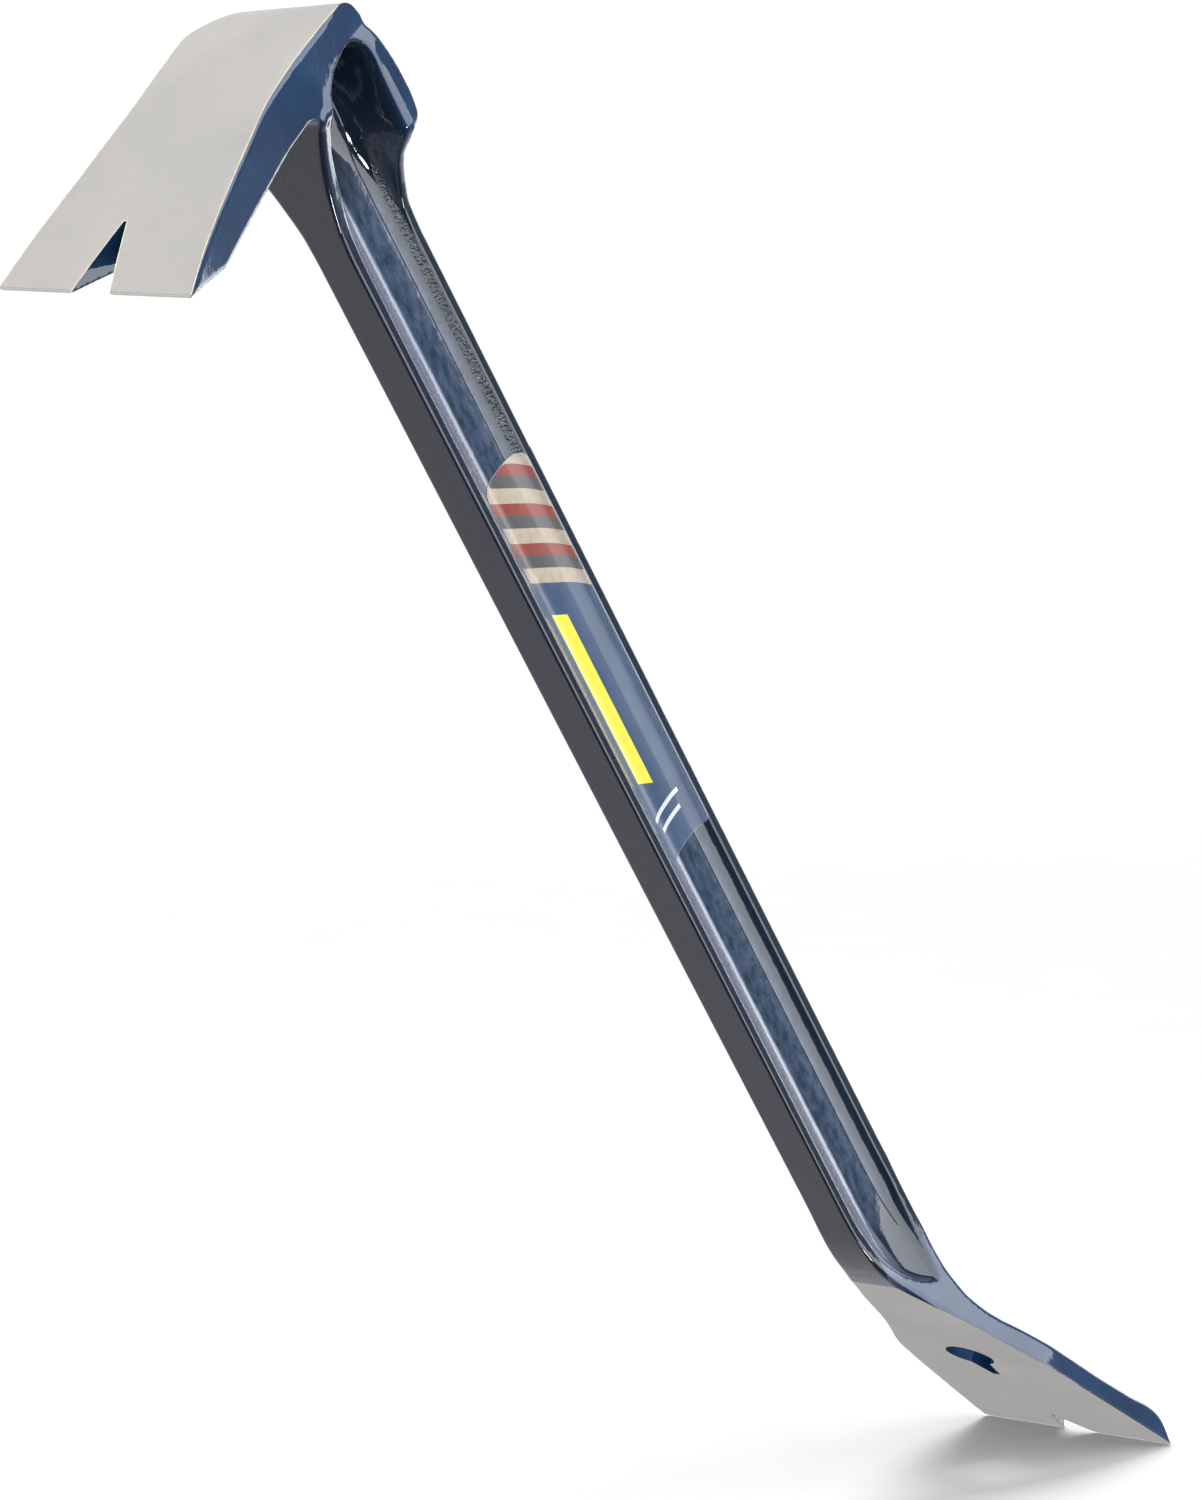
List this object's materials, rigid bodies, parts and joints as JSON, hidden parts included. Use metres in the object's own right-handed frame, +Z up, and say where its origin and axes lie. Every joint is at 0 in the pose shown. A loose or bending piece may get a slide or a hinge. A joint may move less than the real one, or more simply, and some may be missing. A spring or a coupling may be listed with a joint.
{
  "type": "pry bar",
  "caption": "Forged I-beam pry bar with a right-angle claw at one end, a bent flat blade at the other, V nail slots and a nail hole.",
  "frame": {"origin": "middle of the footprint of the bounding box, on the surface that the lower cutting edge stands on", "axes": "+X forward, the way the claw points; +Y to the left across the width; +Z up. The shaft leans 39 degrees from +Z in the XZ mirror plane, head towards +X."},
  "size_m": [0.3586, 0.0512, 0.3379],
  "materials": {
    "ground_steel": "belt-ground carbon steel with fine cross scratches, bare on the claw face, the blade face and both cutting edges",
    "blue_paint": "glossy dark blue baked paint with fine metallic flake and light orange peel over the forged skin",
    "printed_label": null
  },
  "bodies": {
    "root": {"claw_head": "ground_steel", "beam_shaft": "ground_steel", "pry_blade": "ground_steel", "paint_coat": "blue_paint", "side_label": "printed_label"}
  },
  "joints": []
}
